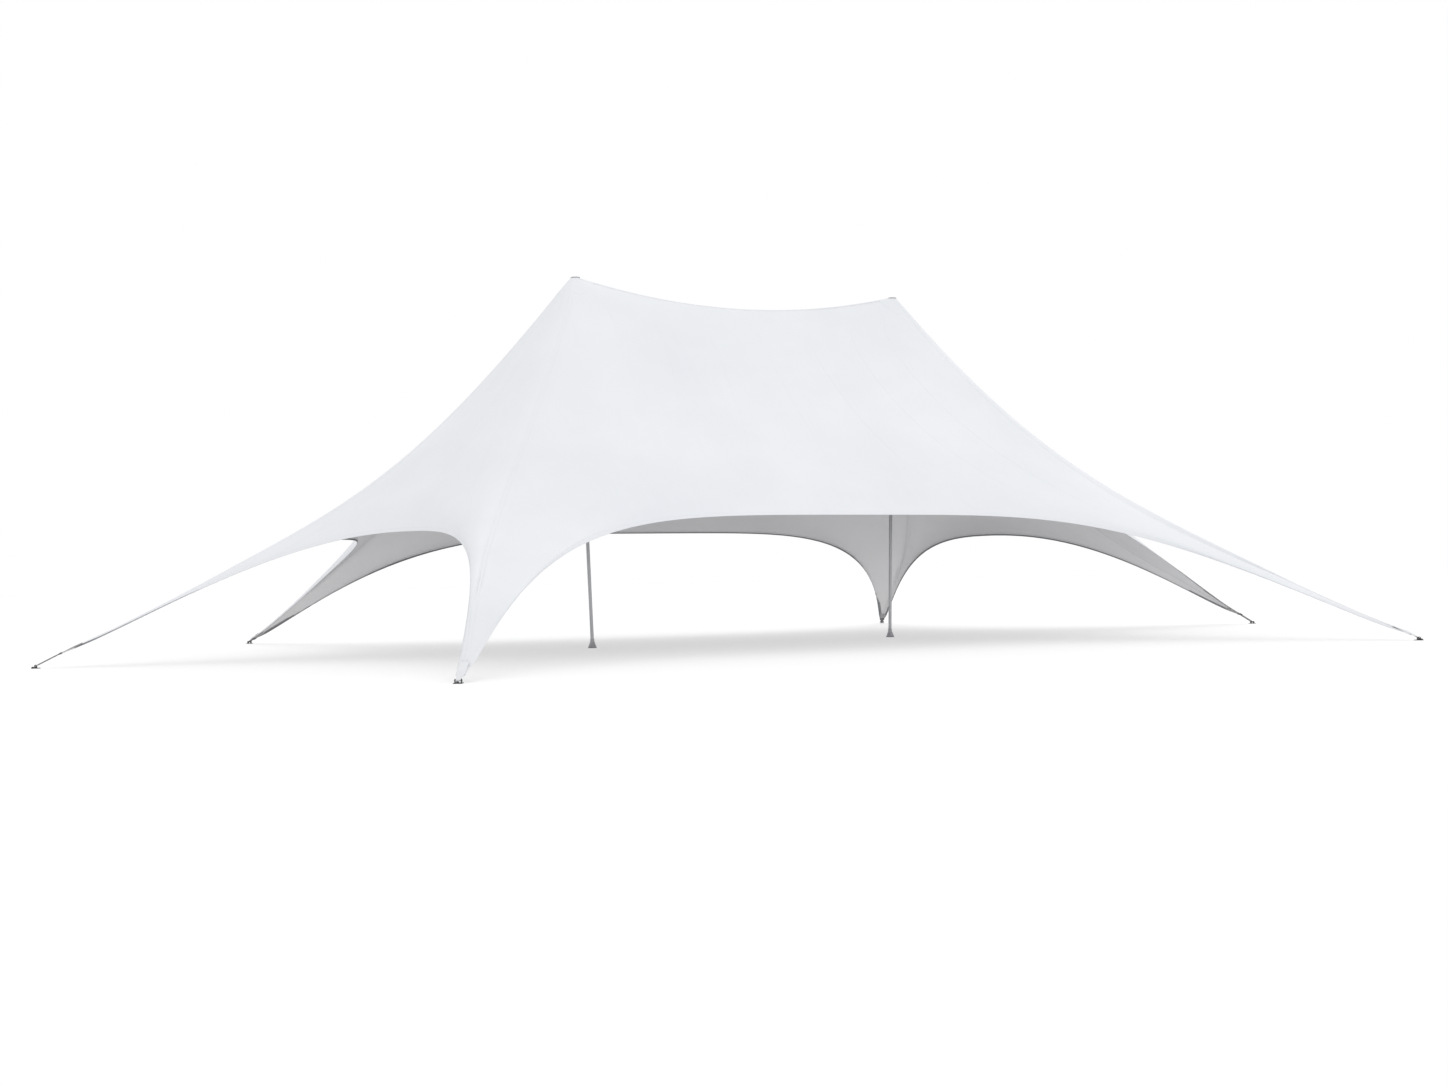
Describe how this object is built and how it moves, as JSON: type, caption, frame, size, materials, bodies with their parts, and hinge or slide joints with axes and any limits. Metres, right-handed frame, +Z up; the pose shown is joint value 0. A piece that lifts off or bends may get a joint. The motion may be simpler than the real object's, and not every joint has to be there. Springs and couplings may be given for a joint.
{
  "type": "star tent",
  "caption": "White star tent: a stretched saddle-shaped membrane peaked over inner masts and drawn down between arched edges to strapped, pegged ground plates.",
  "frame": {"origin": "on the ground at the middle of the tent, between the masts", "axes": "+X along the ridge to the right mast, -Y to the front, +Z up"},
  "size_m": [20.378, 14.1474, 5.5113],
  "materials": {
    "membrane": "white coated polyester cloth, satin",
    "mast_tube": "anodised, satin",
    "mast_casting": "cast, grey, satin",
    "anchor_steel": "dark powder coat over steel",
    "webbing": "woven polyester webbing"
  },
  "bodies": {
    "root": {"canopy_left_front": "membrane", "canopy_front": "membrane", "canopy_right_front": "membrane", "canopy_right_back": "membrane", "canopy_back": "membrane", "canopy_left_back": "membrane", "mast_foot_left": "mast_casting", "mast_lower_left": "mast_tube", "mast_upper_left": "mast_tube", "mast_head_left": "mast_casting", "mast_foot_right": "mast_casting", "mast_lower_right": "mast_tube", "mast_upper_right": "mast_tube", "mast_head_right": "mast_casting", "ground_plate_left": "anchor_steel", "ground_peg_left": "anchor_steel", "anchor_pin_left": "anchor_steel", "corner_plate_left": "anchor_steel", "tension_strap_left": "webbing", "ground_plate_front_left": "anchor_steel", "ground_peg_front_left": "anchor_steel", "anchor_pin_front_left": "anchor_steel", "corner_plate_front_left": "anchor_steel", "tension_strap_front_left": "webbing", "ground_plate_front_right": "anchor_steel", "ground_peg_front_right": "anchor_steel", "anchor_pin_front_right": "anchor_steel", "corner_plate_front_right": "anchor_steel", "tension_strap_front_right": "webbing", "ground_plate_right": "anchor_steel", "ground_peg_right": "anchor_steel", "anchor_pin_right": "anchor_steel", "corner_plate_right": "anchor_steel", "tension_strap_right": "webbing", "ground_plate_back_right": "anchor_steel", "ground_peg_back_right": "anchor_steel", "anchor_pin_back_right": "anchor_steel", "corner_plate_back_right": "anchor_steel", "tension_strap_back_right": "webbing", "ground_plate_back_left": "anchor_steel", "ground_peg_back_left": "anchor_steel", "anchor_pin_back_left": "anchor_steel", "corner_plate_back_left": "anchor_steel", "tension_strap_back_left": "webbing"}
  },
  "joints": []
}
